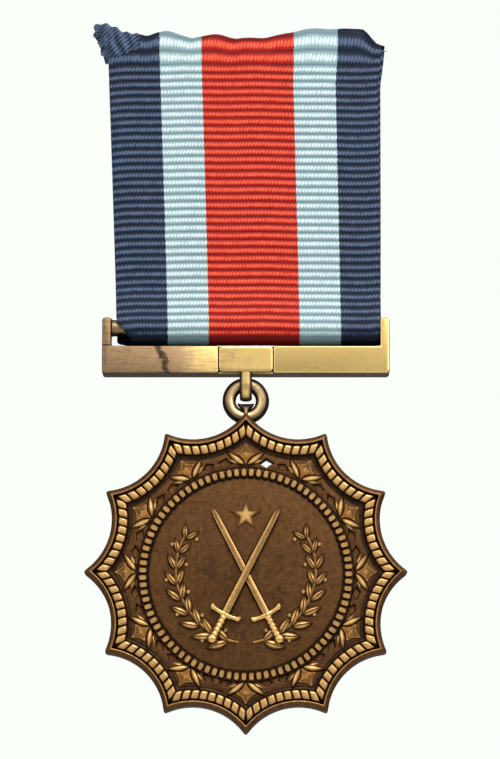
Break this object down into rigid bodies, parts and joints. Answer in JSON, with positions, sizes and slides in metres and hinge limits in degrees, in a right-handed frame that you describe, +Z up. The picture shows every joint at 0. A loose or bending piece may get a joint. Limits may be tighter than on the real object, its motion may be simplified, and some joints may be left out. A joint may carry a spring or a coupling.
{
  "type": "military service medal",
  "caption": "Twelve-pointed antique-bronze star medal hanging by a ring from a bar suspender on a striped ribbon, front face towards -Y.",
  "frame": {"origin": "middle of the flat back of the ribbon's hem, where the medal is pinned or sewn on", "axes": "+Z up along the hanging ribbon, +X to the viewer's right, front towards -Y"},
  "size_m": [0.0388, 0.0034, 0.0844],
  "materials": {
    "ribbon_cloth": "ribbed watered silk weave in navy, pale blue and red stripes",
    "thread": "twisted sewing thread",
    "bar_bronze": "rubbed antique bronze",
    "ring_bronze": "antique bronze",
    "star_bronze": "dark antique bronze with rubbed high points"
  },
  "bodies": {
    "ribbon": {"ribbon": "ribbon_cloth", "ribbon_stitching": "thread"},
    "suspender": {"suspender_frame": "bar_bronze", "hanger_strap": "bar_bronze"},
    "ring": {"suspension_ring": "ring_bronze"},
    "star": {"star_eyelet": "ring_bronze", "star_plate": "star_bronze", "centre_medallion": "star_bronze"}
  },
  "joints": [
    {"name": "suspender_swing", "type": "hinge", "parent": "ribbon", "child": "suspender", "pos_m": [0, -0.00158, -0.0307], "axis": [1, 0, 0], "range_deg": [-75, 75]},
    {"name": "ring_swing", "type": "hinge", "parent": "suspender", "child": "ring", "pos_m": [0, -0.00158, -0.03764], "axis": [1, 0, 0], "range_deg": [-70, 70]},
    {"name": "star_tilt", "type": "hinge", "parent": "ring", "child": "star", "pos_m": [0, -0.00158, -0.03964], "axis": [0, 1, 0], "range_deg": [-25, 25]}
  ]
}
